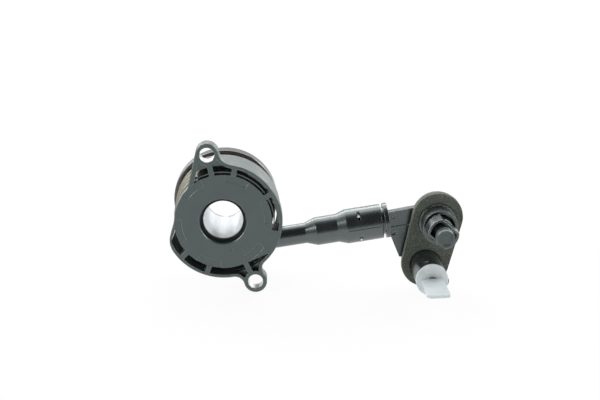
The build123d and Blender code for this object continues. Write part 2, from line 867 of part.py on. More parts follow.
# Wire clip that holds the adaptor's spigot in the pipe, pushed in from the bearing side
with BuildPart() as pipe_clip:
    clip_at = root + pipe_dir * pipe_clip_at
    clip_plane = Plane(origin=clip_at, x_dir=along_pipe.y_dir, z_dir=pipe_dir)
    tip = sqrt(large_r**2 - pipe_clip_offset**2)
    bridge = large_r + clip_bridge_gap + clip_wire_r
    with BuildLine(clip_plane):
        clip_path = FilletPolyline(
            (pipe_clip_offset, tip),
            (pipe_clip_offset, -bridge),
            (-pipe_clip_offset, -bridge),
            (-pipe_clip_offset, tip),
            radius=3 * clip_wire_r,
        )
    with BuildSketch(Plane(origin=clip_path @ 0, z_dir=clip_path % 0)):
        Circle(clip_wire_r)
    sweep()
pipe_clip.part.label = "pipe_clip"
export_step(pipe_clip.part, "parts/pipe_clip.step")

# Adaptor: spigot and collar on the feed pipe's axis, then web, plate, two ports and passages
plate_back = gasket_t + plate_t
riser = Vector(*line_port_at)
with BuildPart() as adaptor:
    # Spigot with its clip and O-ring grooves, collar and conduit
    with BuildSketch(along_pipe):
        block(spigot_front, 0, collar_front, socket_r - slide_gap)
        block(collar_front, 0, collar_front + collar_t, collar_r)
        block(collar_front, 0, bleed_reach, conduit_r)
        block(
            pipe_clip_at - spigot_groove_w / 2,
            pipe_clip_offset - clip_wire_r - stop_gap,
            pipe_clip_at + spigot_groove_w / 2,
            socket_r,
            Mode.SUBTRACT,
        )
        for seat in o_ring_seats:
            block(
                seat - o_ring_groove_w / 2,
                socket_r - 2 * o_ring_r - 2 * seat_gap,
                seat + o_ring_groove_w / 2,
                socket_r,
                Mode.SUBTRACT,
            )
    revolve(axis=pipe_axis)
    # Plate with its two locating tabs
    with BuildSketch(port_plane.offset(-plate_back)):
        plate_outline(plate_inset)
        with Locations(top_lobe_at):
            bar(tab_w, top_lobe_r + tab_reach - plate_inset, 90)
        with Locations(low_lobe_at):
            bar(tab_w, low_lobe_r + tab_reach, low_tab_angle)
    extrude(amount=plate_t)
    # Web, with the step and the round marks on its face
    with BuildSketch(port_plane.offset(-web_back)):
        with BuildLine():
            Polyline(*web_corners, web_corners[0])
        make_face()
    extrude(amount=web_back - web_front)
    with BuildSketch(port_plane.offset(-web_front)):
        with BuildLine():
            Polyline(*web_recess_corners, web_recess_corners[0])
        make_face()
    extrude(amount=-web_recess, mode=Mode.SUBTRACT)
    with BuildSketch(port_plane.offset(-web_front)):
        with Locations(*web_marks):
            Circle(web_mark_r)
    extrude(amount=-web_recess - web_mark_depth, mode=Mode.SUBTRACT)
    # Columns behind the plate and the riser that joins them
    with BuildSketch(port_plane.offset(-column_back)):
        with Locations((0, 0), line_port_at):
            Circle(column_r)
    extrude(amount=column_back - gasket_t)
    riser_plane = Plane(
        origin=port_plane.from_local_coords(Vector(0, 0, -plate_stand)),
        z_dir=port_plane.x_dir * riser.X + port_plane.y_dir * riser.Y,
    )
    with BuildSketch(riser_plane):
        Circle(riser_r)
    extrude(amount=riser.length)
    # Bleed cup with the step at its foot, and the line port
    with BuildSketch(port_plane.offset(-plate_back)):
        Circle(cup_r)
        with Locations(line_port_at):
            Circle(line_port_r)
    extrude(amount=plate_back + cup_rim)
    with BuildSketch(port_plane.offset(cup_rim - 1)):
        with Locations(line_port_at):
            Circle(line_port_r)
    extrude(amount=line_port_end - cup_rim + 1)
    with BuildSketch(port_plane.offset(-gasket_t)):
        Circle(cup_step_r)
    extrude(amount=gasket_t + cup_step)
    # Passages, bleed bore and line socket
    with BuildSketch(across_pipe(spigot_front)):
        Circle(duct_r)
    extrude(amount=bleed_reach - spigot_front, mode=Mode.SUBTRACT)
    with BuildSketch(riser_plane):
        Circle(duct_r)
    extrude(amount=riser.length, mode=Mode.SUBTRACT)
    with BuildSketch(port_plane.offset(-plate_stand)):
        Circle(bleed_bore_r)
    extrude(amount=plate_stand + cup_floor, mode=Mode.SUBTRACT)
    with BuildSketch(port_plane.offset(cup_floor)):
        Circle(cup_bore_r)
    extrude(amount=cup_rim, mode=Mode.SUBTRACT)
    with BuildSketch(port_plane.offset(-plate_stand)):
        with Locations(line_port_at):
            Circle(duct_r)
    extrude(amount=plate_stand + line_socket_floor, mode=Mode.SUBTRACT)
    with BuildSketch(port_plane.offset(line_socket_floor)):
        with Locations(line_port_at):
            Circle(line_socket_r)
    extrude(amount=line_port_end, mode=Mode.SUBTRACT)
    # Slots for the line port's clip
    with BuildSketch(line_clip_plane.offset(-line_slot_w / 2)):
        for side in (-1, 1):
            with Locations((0, side * line_clip_offset)):
                Rectangle(3 * line_port_r, line_slot_w)
    extrude(amount=line_slot_w, mode=Mode.SUBTRACT)
adaptor.part.label = "adaptor"
export_step(adaptor.part, "parts/adaptor.step")

# O-rings on the adaptor's spigot
with BuildPart() as adaptor_o_rings:
    with BuildSketch(along_pipe):
        for seat in o_ring_seats:
            with Locations((seat, socket_r - o_ring_r - seat_gap)):
                Circle(o_ring_r)
    revolve(axis=pipe_axis)
adaptor_o_rings.part.label = "adaptor_o_rings"
export_step(adaptor_o_rings.part, "parts/adaptor_o_rings.step")

# Foam gasket between the adaptor's plate and the wall of the bell housing
with BuildPart() as adaptor_gasket:
    with BuildSketch(port_plane.offset(-gasket_t)):
        plate_outline(0)
        Circle(cup_step_r + seat_gap, mode=Mode.SUBTRACT)
        with Locations(line_port_at):
            Circle(line_port_r + seat_gap, mode=Mode.SUBTRACT)
    extrude(amount=gasket_t)
adaptor_gasket.part.label = "adaptor_gasket"
export_step(adaptor_gasket.part, "parts/adaptor_gasket.step")

# Bleed screw: stem with O-rings, threaded collar, hollow head with two flats, and nipple
stem_r = bleed_bore_r - slide_gap
with BuildPart() as bleed_screw:
    with BuildSketch(bleed_section):
        with BuildLine():
            Polyline(
                (0, screw_tip),
                (duct_r, screw_tip),
                (stem_r, screw_tip + stem_r - duct_r),
                (stem_r, cup_floor + stop_gap),
                (screw_thread_r, cup_floor + stop_gap),
                (screw_thread_r, screw_thread_front),
                (neck_r, screw_thread_front),
                (neck_r, head_back + head_floor),
                (nipple_r, head_back + head_floor),
                (nipple_r, nipple_end - 1),
                (nipple_r - 1, nipple_end),
                (0, nipple_end),
                (0, screw_tip),
            )
        make_face()
        for seat in bleed_o_rings_at:
            block(
                stem_r - 2 * o_ring_r,
                seat - o_ring_groove_w / 2,
                bleed_bore_r,
                seat + o_ring_groove_w / 2,
                Mode.SUBTRACT,
            )
    revolve(axis=bleed_axis)
    with BuildSketch(port_plane.offset(head_back)):
        Circle(head_r)
        Rectangle(2 * head_r, head_flats, rotation=head_turn, mode=Mode.INTERSECT)
    extrude(amount=head_front - head_back)
    with BuildSketch(port_plane.offset(head_back + head_floor)):
        Circle(head_r - head_wall)
        Rectangle(2 * head_r, head_flats - 2 * head_wall, rotation=head_turn, mode=Mode.INTERSECT)
        Circle(nipple_r, mode=Mode.SUBTRACT)
    extrude(amount=head_front, mode=Mode.SUBTRACT)
    with BuildSketch(port_plane.offset(bleed_o_rings_at[1] + o_ring_groove_w)):
        Circle(nipple_bore_r)
    extrude(amount=nipple_end, mode=Mode.SUBTRACT)
bleed_screw.part.label = "bleed_screw"
export_step(bleed_screw.part, "parts/bleed_screw.step")

with BuildPart() as bleed_o_rings:
    with BuildSketch(bleed_section):
        for seat in bleed_o_rings_at:
            with Locations((bleed_bore_r - o_ring_r - slide_gap / 2, seat)):
                Circle(o_ring_r - slide_gap / 2)
    revolve(axis=bleed_axis)
bleed_o_rings.part.label = "bleed_o_rings"
export_step(bleed_o_rings.part, "parts/bleed_o_rings.step")

# Dust cap on the nipple, with two beads and a dished end
with BuildPart() as bleed_cap:
    with BuildSketch(bleed_section):
        block(nipple_r + seat_gap, cap_back, cap_waist_r, cap_end)
        block(nipple_r + seat_gap, cap_bead_at, cap_r, cap_bead_at + cap_bead_t)
        block(0, nipple_end + seat_gap, cap_r, cap_end)
        block(nipple_r + seat_gap, cap_end - cap_head_t, cap_r, cap_end)
        block(0, cap_end - cap_dish_depth, cap_dish_r, cap_end, Mode.SUBTRACT)
    revolve(axis=bleed_axis)
bleed_cap.part.label = "bleed_cap"
export_step(bleed_cap.part, "parts/bleed_cap.step")

# O-ring and wire clip of the line port
with BuildPart() as line_port_o_ring:
    with BuildSketch(line_section):
        with Locations((line_socket_r - o_ring_r - seat_gap, line_o_ring_at)):
            Circle(o_ring_r)
    revolve(axis=line_axis)
line_port_o_ring.part.label = "line_port_o_ring"
export_step(line_port_o_ring.part, "parts/line_port_o_ring.step")

with BuildPart() as line_clip:
    tip = sqrt(line_port_r**2 - line_clip_offset**2)
    bridge = line_port_r + clip_bridge_gap + clip_wire_r
    with BuildLine(line_clip_plane):
        clip_path = FilletPolyline(
            (-tip, line_clip_offset),
            (bridge, line_clip_offset),
            (bridge, -line_clip_offset),
            (-tip, -line_clip_offset),
            radius=3 * clip_wire_r,
        )
    with BuildSketch(Plane(origin=clip_path @ 0, z_dir=clip_path % 0)):
        Circle(clip_wire_r)
    sweep()
line_clip.part.label = "line_clip"
export_step(line_clip.part, "parts/line_clip.step")

# Transport plug: spigot and collar in the line port, flange, and flat grip
with BuildPart() as transport_plug:
    with BuildSketch(line_section):
        block(0, plug_spigot_end, plug_spigot_r, line_port_end)
        block(0, line_port_end - plug_collar_t, line_socket_r - slide_gap, line_port_end)
        block(0, line_port_end, plug_flange_r, plug_face)
        with Locations((plug_ring_r, plug_face + plug_ring_h / 2)):
            Rectangle(plug_ring_t, plug_ring_h)
        block(0, plug_face - plug_dimple_depth, plug_dimple_r, plug_face, Mode.SUBTRACT)
    revolve(axis=line_axis)
    with BuildSketch(line_section.offset(-grip_t / 2)) as grip:
        with BuildLine():
            Polyline(
                (-grip_root_w / 2, plug_face - plug_dimple_depth),
                (-grip_root_w / 2, plug_face),
                (-grip_end_w / 2, plug_face + grip_length),
                (grip_end_w / 2, plug_face + grip_length),
                (grip_root_w / 2, plug_face),
                (grip_root_w / 2, plug_face - plug_dimple_depth),
                (-grip_root_w / 2, plug_face - plug_dimple_depth),
            )
        make_face()
        fillet(grip.vertices().group_by(Axis.Y)[-1], grip_round_r)
    extrude(amount=grip_t)
transport_plug.part.label = "transport_plug"
export_step(transport_plug.part, "parts/transport_plug.step")
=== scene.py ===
"""Studio picture of a concentric clutch slave cylinder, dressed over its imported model."""

import logging
import math
from collections.abc import Mapping, Sequence
from dataclasses import dataclass, field
from enum import Enum
from typing import ClassVar, Union

import bmesh
import bpy
from mathutils import Matrix, Vector, noise

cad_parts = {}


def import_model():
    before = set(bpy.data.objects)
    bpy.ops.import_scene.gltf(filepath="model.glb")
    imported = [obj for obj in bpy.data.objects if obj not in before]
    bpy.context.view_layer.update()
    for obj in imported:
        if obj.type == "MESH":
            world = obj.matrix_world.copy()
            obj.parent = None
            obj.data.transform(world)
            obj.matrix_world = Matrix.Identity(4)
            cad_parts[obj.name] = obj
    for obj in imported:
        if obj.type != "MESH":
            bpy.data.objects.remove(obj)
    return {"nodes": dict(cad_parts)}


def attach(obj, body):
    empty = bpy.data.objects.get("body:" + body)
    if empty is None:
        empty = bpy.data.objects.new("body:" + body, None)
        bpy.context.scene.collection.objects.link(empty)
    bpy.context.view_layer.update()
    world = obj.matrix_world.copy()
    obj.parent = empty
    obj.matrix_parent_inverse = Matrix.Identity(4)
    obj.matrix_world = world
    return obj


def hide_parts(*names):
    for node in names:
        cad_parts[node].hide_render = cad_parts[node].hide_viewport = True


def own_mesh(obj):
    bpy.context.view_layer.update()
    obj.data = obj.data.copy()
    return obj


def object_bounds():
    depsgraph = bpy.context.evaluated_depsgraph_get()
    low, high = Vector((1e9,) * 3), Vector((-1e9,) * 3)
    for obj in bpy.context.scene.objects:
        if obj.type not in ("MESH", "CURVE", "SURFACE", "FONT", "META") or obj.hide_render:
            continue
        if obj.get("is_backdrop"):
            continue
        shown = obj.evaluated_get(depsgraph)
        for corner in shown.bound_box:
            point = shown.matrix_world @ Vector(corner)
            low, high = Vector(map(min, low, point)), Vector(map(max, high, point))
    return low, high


LOG = logging.getLogger("slave_cylinder")

Colour = tuple[float, float, float]
Point = tuple[float, float, float]
Span = tuple[float, float]
Outline = Sequence[tuple[float, float]]

# The clutch's axis, the same as in the CAD, and the direction up
CLUTCH_AXIS: Point = (0.0, 1.0, 0.0)
UP = Vector((0.0, 0.0, 1.0))

# How the shaders find and soften edges, and how fast a noise's finer layers fade
BEVEL_SAMPLES = 6
EDGE_SPAN: Span = (0.01, 0.16)
NOISE_FALLOFF = 0.55

# How the meshes are welded, and the angle from which an edge stays sharp
WELD = 1e-7
SHARP_FROM = math.radians(32)


class Wire:
    """One output socket of a material, with operators that add the nodes of an expression."""

    def __init__(self, graph: "Graph", socket: bpy.types.NodeSocket) -> None:
        """Wraps a socket.

        Args:
            graph: the graph that the socket belongs to.
            socket: the output socket.
        """
        self.graph = graph
        self.socket = socket

    @property
    def is_value(self) -> bool:
        """Whether the socket carries one number."""
        return self.socket.type == "VALUE"

    def _joined(self, operation: str, left: "Term", right: "Term") -> "Wire":
        """Adds the node of one operation.

        Args:
            operation: the operation's name, the same for numbers and vectors.
            left: the first term.
            right: the second term.

        Returns:
            The result's wire.
        """
        if self.is_value:
            return self.graph.add("ShaderNodeMath", {"operation": operation}, {0: left, 1: right})
        triple = [(t, t, t) if isinstance(t, (int, float)) else t for t in (left, right)]
        return self.graph.add(
            "ShaderNodeVectorMath", {"operation": operation}, {0: triple[0], 1: triple[1]}
        )

    def __add__(self, other: "Term") -> "Wire":
        """Sum."""
        return self._joined("ADD", self, other)

    def __radd__(self, other: "Term") -> "Wire":
        """Sum with the term on the left."""
        return self._joined("ADD", other, self)

    def __sub__(self, other: "Term") -> "Wire":
        """Difference."""
        return self._joined("SUBTRACT", self, other)

    def __rsub__(self, other: "Term") -> "Wire":
        """Difference from the term on the left."""
        return self._joined("SUBTRACT", other, self)

    def __mul__(self, other: "Term") -> "Wire":
        """Product."""
        return self._joined("MULTIPLY", self, other)

    def __rmul__(self, other: "Term") -> "Wire":
        """Product with the term on the left."""
        return self._joined("MULTIPLY", other, self)

    def above(self, other: "Term") -> "Wire":
        """The larger of the two."""
        return self._joined("MAXIMUM", self, other)

    def dot(self, other: "Term") -> "Wire":
        """Dot product of two vectors.

        Args:
            other: the second vector.

        Returns:
            The product's wire, a number.
        """
        return self.graph.add(
            "ShaderNodeVectorMath", {"operation": "DOT_PRODUCT"}, {0: self, 1: other}, "Value"
        )

    def root(self) -> "Wire":
        """Square root of a number."""
        return self.graph.add("ShaderNodeMath", {"operation": "SQRT"}, {0: self})

    def blended(self, start: "Term", end: "Term") -> "Wire":
        """Mixes two colours by this wire.

        Args:
            start: the colour at 0.
            end: the colour at 1.

        Returns:
            The colour's wire.
        """
        return self.graph.add(
            "ShaderNodeMix",
            {"data_type": "RGBA"},
            {"Factor": self, "A": start, "B": end},
            "Result",
        )

    def between(self, low: float, high: float) -> "Wire":
        """Spreads a stretch of this wire over 0 to 1, and holds it there outside.

        Args:
            low: the value that becomes 0.
            high: the value that becomes 1.

        Returns:
            The spread value's wire.
        """
        span: dict[Union[int, str], Term] = {"Value": self, "From Min": low, "From Max": high}
        return self.graph.add("ShaderNodeMapRange", {"clamp": True}, span)


Term = Union[Wire, float, Sequence[float]]


@dataclass(frozen=True)
class Grain:
    """One noise of a finish.

    It has a size in metres, a number of layers and a density along each axis, and it makes the
    surface rougher by the given amount where it is high.
    """

    size: float
    detail: float = 2.0
    stretch: Point = (1.0, 1.0, 1.0)
    roughens: float = 0.0


class Graph:
    """The nodes of one material or world."""

    def __init__(self, owner: Union[bpy.types.Material, bpy.types.World]) -> None:
        """Starts empty.

        Args:
            owner: the material or world.
        """
        self.owner = owner
        owner.use_nodes = True
        self.tree = owner.node_tree
        self.tree.nodes.clear()

    @classmethod
    def of_material(cls, name: str) -> "Graph":
        """Starts a new material of that name."""
        return cls(bpy.data.materials.new(name))

    def add(
        self,
        kind: str,
        settings: Mapping[str, object],
        sockets: Mapping[Union[int, str], Term],
        output: Union[int, str] = 0,
    ) -> Wire:
        """Adds one node.

        Args:
            kind: the node's type.
            settings: its properties, which are set before its sockets.
            sockets: values or wires, by the input's name or number.
            output: the output to return, by name or number.

        Returns:
            The output's wire.
        """
        node = self.tree.nodes.new(kind)
        for key, value in settings.items():
            setattr(node, key, value)
        usable = {s.name: s for s in node.inputs if s.enabled}
        for key, value in sockets.items():
            socket = node.inputs[key] if isinstance(key, int) else usable[key]
            self.feed(socket, value)
        if isinstance(output, str):
            return Wire(self, next(s for s in node.outputs if s.name == output and s.enabled))
        return Wire(self, node.outputs[output])

    def feed(self, socket: bpy.types.NodeSocket, value: Term) -> None:
        """Links or sets one input.

        Args:
            socket: the input socket.
            value: a wire, a number, or a colour or vector.
        """
        if isinstance(value, Wire):
            self.tree.links.new(value.socket, socket)
        elif socket.type == "RGBA" and len(value) == 3:
            socket.default_value = (*value, 1.0)
        else:
            socket.default_value = value

    def end(self, shader: Wire) -> Union[bpy.types.Material, bpy.types.World]:
        """Ends the graph with a shader.

        Args:
            shader: the shader's wire.

        Returns:
            The finished material or world.
        """
        kind = "World" if isinstance(self.owner, bpy.types.World) else "Material"
        last = self.tree.nodes.new(f"ShaderNodeOutput{kind}")
        self.tree.links.new(shader.socket, last.inputs["Surface"])
        return self.owner

    def ray(self, kind: str) -> Wire:
        """Whether the ray is of a kind, such as Is Camera Ray."""
        return self.add("ShaderNodeLightPath", {}, {}, kind)

    def mirrored(self) -> Wire:
        """Whether the ray comes off a reflection or through something clear."""
        return self.ray("Is Glossy Ray").above(self.ray("Is Transmission Ray"))

    def place(self) -> Wire:
        """Position on the object, in the model's frame."""
        return self.add("ShaderNodeTexCoord", {}, {}, "Object")

    def noise(self, grain: Grain) -> Wire:
        """Soft noise.

        Args:
            grain: the noise's size, layers and stretch.

        Returns:
            The noise's wire, about 0.5 on average.
        """
        spread = tuple(share / grain.size for share in grain.stretch)
        return self.add(
            "ShaderNodeTexNoise",
            {"noise_dimensions": "3D"},
            {
                "Vector": self.place() * spread,
                "Scale": 1.0,
                "Detail": grain.detail,
                "Roughness": NOISE_FALLOFF,
            },
        )

    def cells(self, size: float) -> Wire:
        """Distance from the nearest of many scattered points.

        Args:
            size: the spacing of the points, in metres.

        Returns:
            The distance's wire, in spacings.
        """
        return self.add(
            "ShaderNodeTexVoronoi", {}, {"Vector": self.place() * (1.0 / size), "Scale": 1.0}
        )

    def soft_normal(self, edge: float) -> Wire:
        """Normal that is rounded over sharp edges by a radius in metres."""
        return self.add("ShaderNodeBevel", {"samples": BEVEL_SAMPLES}, {"Radius": edge})

    def edges(self, edge: float) -> Wire:
        """Mask of the sharp edges.

        Args:
            edge: how far the mask reaches from an edge, in metres.

        Returns:
            The mask's wire, 1 on an edge and 0 away from it.
        """
        normal = self.add("ShaderNodeNewGeometry", {}, {}, "Normal")
        return (1.0 - self.soft_normal(edge).dot(normal)).between(*EDGE_SPAN)

    def relief(self, height: Wire, depth: float, edge: float = 0.0) -> Wire:
        """Bump, with softened edges if asked.

        Args:
            height: the relief, from 0 to 1.
            depth: how deep it goes, in metres.
            edge: the radius of the softened edges, in metres.

        Returns:
            The normal's wire.
        """
        sockets: dict[Union[int, str], Term] = {
            "Height": height, "Distance": depth, "Strength": 1.0
        }
        if edge:
            sockets["Normal"] = self.soft_normal(edge)
        return self.add("ShaderNodeBump", {}, sockets)

    def surface(self, sockets: Mapping[Union[int, str], Term]) -> bpy.types.Material:
        """Ends the material with its shader.

        Args:
            sockets: values or wires of the shader's inputs.

        Returns:
            The finished material.
        """
        return self.end(self.add("ShaderNodeBsdfPrincipled", {}, sockets))


@dataclass(frozen=True)
class MouldedNylon:
    """Glass-filled nylon: dark and satin, mottled by its fibres, with a highlight painted pale
    along its edges.
    """

    name: str
    colour: Colour = (0.009, 0.019, 0.018)
    pale: Colour = (0.021, 0.036, 0.034)
    wear_and_edge_highlight: Colour = (0.46, 0.5, 0.49)
    roughness: float = 0.34
    ior: float = 2.0
    tint: Colour = (0.87, 1.0, 0.98)
    edge: float = 0.0003
    edge_highlight_share: float = 0.85
    flow: Grain = Grain(0.011, 3.0, roughens=0.1)
    fibre: Grain = Grain(0.00035, stretch=(1.0, 1.0, 0.35), roughens=0.14)
    flow_share: float = 0.6
    tones: Span = (0.34, 0.66)
    highlight_breakup: Grain = Grain(0.004, 3.0)
    highlight_breakup_span: Span = (0.2, 0.55)
    fibre_depth: float = 0.00001
    smoother: float = 0.12

    def build(self) -> bpy.types.Material:
        """Makes the material."""
        graph = Graph.of_material(self.name)
        flow = graph.noise(self.flow)
        fibre = graph.noise(self.fibre)
        mottle = flow * self.flow_share + fibre * (1.0 - self.flow_share)
        body = mottle.between(*self.tones).blended(self.colour, self.pale)
        # Painted highlight: the edges are painted pale, in patches broken up by a noise, where
        # light catches them
        edge_highlight = graph.edges(self.edge) * graph.noise(self.highlight_breakup).between(*self.highlight_breakup_span)
        rough = fibre * self.fibre.roughens + flow * self.flow.roughens
        return graph.surface(
            {
                "Base Color": (edge_highlight * self.edge_highlight_share).blended(body, self.wear_and_edge_highlight),
                "Roughness": rough + (self.roughness - self.smoother),
                "IOR": self.ior,
                "Specular Tint": self.tint,
                "Normal": graph.relief(fibre, self.fibre_depth, self.edge),
            }
        )


@dataclass(frozen=True)
class FoamPad:
    """Closed-cell foam with a speckled, pitted face."""

    name: str
    colour: Colour = (0.07, 0.081, 0.066)
    speck: Colour = (0.2, 0.222, 0.185)
    cell: float = 0.0007
    grain: Grain = Grain(0.0006, roughens=0.1)
    grain_share: float = 0.7
    tones: Span = (0.38, 0.72)
    pit_depth: float = 0.00016
    smoothest: float = 0.84

    def build(self) -> bpy.types.Material:
        """Makes the material."""
        graph = Graph.of_material(self.name)
        pits = graph.cells(self.cell)
        grain = graph.noise(self.grain)
        mottle = grain * self.grain_share + (1.0 - pits) * (1.0 - self.grain_share)
        return graph.surface(
            {
                "Base Color": mottle.between(*self.tones).blended(self.colour, self.speck),
                "Roughness": grain * self.grain.roughens + self.smoothest,
                "Normal": graph.relief(pits, self.pit_depth),
            }
        )


@dataclass(frozen=True)
class TurnedSteel:
    """Bare steel with fine marks round its axis, from drawing or turning."""

    name: str
    colour: Colour = (0.6, 0.6, 0.58)
    stain: Colour = (0.42, 0.41, 0.38)
    roughness: float = 0.24
    marks: Grain = Grain(0.00025, stretch=(0.12, 1.0, 0.12), roughens=0.14)
    blotch: Grain = Grain(0.006, 3.0, roughens=0.08)
    blotch_span: Span = (0.4, 0.8)
    mark_depth: float = 0.000012
    edge: float = 0.0001
    smoother: float = 0.1

    def build(self) -> bpy.types.Material:
        """Makes the material."""
        graph = Graph.of_material(self.name)
        marks = graph.noise(self.marks)
        blotch = graph.noise(self.blotch)
        rough = marks * self.marks.roughens + blotch * self.blotch.roughens
        return graph.surface(
            {
                "Base Color": blotch.between(*self.blotch_span).blended(self.colour, self.stain),
                "Metallic": 1.0,
                "Roughness": rough + (self.roughness - self.smoother),
                "Normal": graph.relief(marks, self.mark_depth, self.edge),
            }
        )


@dataclass(frozen=True)
class DrawnTube:
    """Drawn steel tube: draw marks along it, dark reflections painted on it in soft patches, and
    shade painted as a dark band at its far rim.
    """

    name: str
    colour: Colour = (0.56, 0.59, 0.61)
    marks_and_reflection_tone: Colour = (0.34, 0.36, 0.37)
    rim_shade: Colour = (0.05, 0.055, 0.06)
    rim_shade_band: Span = (0.0421, 0.0429)
    roughness: float = 0.34
    metal: float = 0.9
    marks: Grain = Grain(0.0006, stretch=(1.0, 0.04, 1.0), roughens=0.16)
    mark_span: Span = (0.55, 0.8)
    reflection_blotch: Grain = Grain(0.006, 3.0, (1.0, 0.3, 1.0), 0.1)
    reflection_blotch_span: Span = (0.5, 0.75)
    reflection_blotch_share: float = 0.5
    mark_depth: float = 0.00002
    edge: float = 0.0001
    smoother: float = 0.1

    def build(self) -> bpy.types.Material:
        """Makes the material."""
        graph = Graph.of_material(self.name)
        marks = graph.noise(self.marks)
        # Painted reflection: the tube is painted darker in soft patches, where it reflects dark
        # things, and along its draw marks
        reflection_blotch = graph.noise(self.reflection_blotch).between(*self.reflection_blotch_span)
        marks_and_painted_reflection = reflection_blotch * self.reflection_blotch_share + marks.between(*self.mark_span) * (1.0 - self.reflection_blotch_share)
        # Painted shade: a dark band is painted round the tube's far rim
        rim_shade_band = graph.place().dot(CLUTCH_AXIS).between(*self.rim_shade_band)
        rough = marks * self.marks.roughens + reflection_blotch * self.reflection_blotch.roughens
        return graph.surface(
            {
                "Base Color": rim_shade_band.blended(marks_and_painted_reflection.blended(self.colour, self.marks_and_reflection_tone), self.rim_shade),
                "Metallic": self.metal,
                "Roughness": rough + (self.roughness - self.smoother),
                "Normal": graph.relief(marks, self.mark_depth, self.edge),
            }
        )


@dataclass(frozen=True)
class CoatedMetal:
    """Metal under a thin coat, which thins to the metal in small spots where the coat has come off.
    """

    name: str
    colour: Colour
    bare: Colour
    roughness: float = 0.34
    metal: float = 0.2
    ior: float = 1.5
    bare_metal: float = 0.8
    spots: Grain = Grain(0.0035, 4.0, roughens=-0.08)
    spot_span: Span = (0.62, 0.78)
    grain: Grain = Grain(0.0004, roughens=0.14)
    grain_depth: float = 0.000002
    edge: float = 0.0001
    smoother: float = 0.07

    def build(self) -> bpy.types.Material:
        """Makes the material."""
        graph = Graph.of_material(self.name)
        wear_and_edge_highlight = graph.noise(self.spots).between(*self.spot_span)
        grain = graph.noise(self.grain)
        rough = grain * self.grain.roughens + wear_and_edge_highlight * self.spots.roughens
        return graph.surface(
            {
                "Base Color": wear_and_edge_highlight.blended(self.colour, self.bare),
                "Metallic": wear_and_edge_highlight * (self.bare_metal - self.metal) + self.metal,
                "Roughness": rough + (self.roughness - self.smoother),
                "IOR": self.ior,
                "Normal": graph.relief(grain, self.grain_depth, self.edge),
            }
        )


@dataclass(frozen=True)
class SoftRubber:
    """Moulded rubber with a faint bloom."""

    name: str
    colour: Colour = (0.01, 0.01, 0.0105)
    bloom: Colour = (0.024, 0.024, 0.024)
    roughness: float = 0.5
    haze: Grain = Grain(0.003, 4.0, roughens=0.12)
    haze_span: Span = (0.35, 0.75)
    grain: Grain = Grain(0.0003, 1.0)
    grain_depth: float = 0.000025
    edge: float = 0.00015
    smoother: float = 0.05

    def build(self) -> bpy.types.Material:
        """Makes the material."""
        graph = Graph.of_material(self.name)
        haze = graph.noise(self.haze).between(*self.haze_span)
        return graph.surface(
            {
                "Base Color": haze.blended(self.colour, self.bloom),
                "Roughness": haze * self.haze.roughens + (self.roughness - self.smoother),
                "Normal": graph.relief(graph.noise(self.grain), self.grain_depth, self.edge),
            }
        )


@dataclass(frozen=True)
class PalePlastic:
    """Pale moulded plastic that lets a little light into it.

    Its round face has a creamy ring, and shade painted grey-blue into the deep part of the dimple
    in the middle. The face stands square to the axis, at a distance along it from the centre, and
    only what is near that level takes the ring.
    """

    name: str
    colour: Colour = (0.7, 0.765, 0.79)
    pale: Colour = (0.8, 0.855, 0.875)
    ring: Colour = (0.84, 0.79, 0.68)
    dimple_shade: Colour = (0.32, 0.39, 0.45)
    centre: Point = (0.0, 0.0, 0.0)
    axis: Point = (0.0, -1.0, 0.0)
    face: float = 0.0
    face_depth: Span = (0.0007, 0.00091)
    ring_r: Span = (0.0041, 0.0054)
    ring_strength: float = 0.7
    dimple_r: Span = (0.0025, 0.0027)
    dimple_depth: Span = (0.0003, 0.0006)
    roughness: float = 0.3
    flow: Grain = Grain(0.009)
    flow_span: Span = (0.3, 0.75)
    grain: Grain = Grain(0.0005, roughens=0.12)
    grain_depth: float = 0.000015
    edge: float = 0.00025
    smoother: float = 0.06
    light_share: float = 0.15
    light_depth: float = 0.002

    def build(self) -> bpy.types.Material:
        """Makes the material."""
        graph = Graph.of_material(self.name)
        flow = graph.noise(self.flow).between(*self.flow_span)
        grain = graph.noise(self.grain)
        arm = graph.place() - self.centre
        along = arm.dot(self.axis)
        reach = (arm.dot(arm) - along * along).root()
        half = (self.ring_r[1] - self.ring_r[0]) / 2
        inside, outside = (reach.between(r - half, r + half) for r in self.ring_r)
        proud = (along - self.face).between(*self.face_depth)
        band = (inside - outside) * self.ring_strength * (1.0 - proud)
        # Painted shade: the dimple is painted grey-blue where it sinks deep
        dimple_shade_mask = (self.face - along).between(*self.dimple_depth)
        dimple_shade_mask = dimple_shade_mask * (1.0 - reach.between(*self.dimple_r))
        tone = band.blended(flow.blended(self.colour, self.pale), self.ring)
        return graph.surface(
            {
                "Base Color": dimple_shade_mask.blended(tone, self.dimple_shade),
                "Roughness": grain * self.grain.roughens + (self.roughness - self.smoother),
                "Subsurface Weight": self.light_share,
                "Subsurface Radius": (self.light_depth,) * 3,
                "Subsurface Scale": 1.0,
                "Normal": graph.relief(grain, self.grain_depth, self.edge),
            }
        )


# Frame of the two ports, the same as in the CAD
PIPE_TURN = math.radians(5.0)
PIPE_RISE = math.radians(7.8)
PORT_DIR = Vector((math.sin(PIPE_TURN), -math.cos(PIPE_TURN), 0.0))
LEVEL_DIR = Vector((math.cos(PIPE_TURN), math.sin(PIPE_TURN), 0.0))
PIPE_DIR = LEVEL_DIR * math.cos(PIPE_RISE) + UP * math.sin(PIPE_RISE)
PIPE_ROOT = Vector((0.0335, 0.010, -0.0121))
BLEED_PORT = Vector((0.1210023, 0.0045054, -0.0015249))
LINE_PORT = BLEED_PORT - LEVEL_DIR * 0.0065 - UP * 0.0254


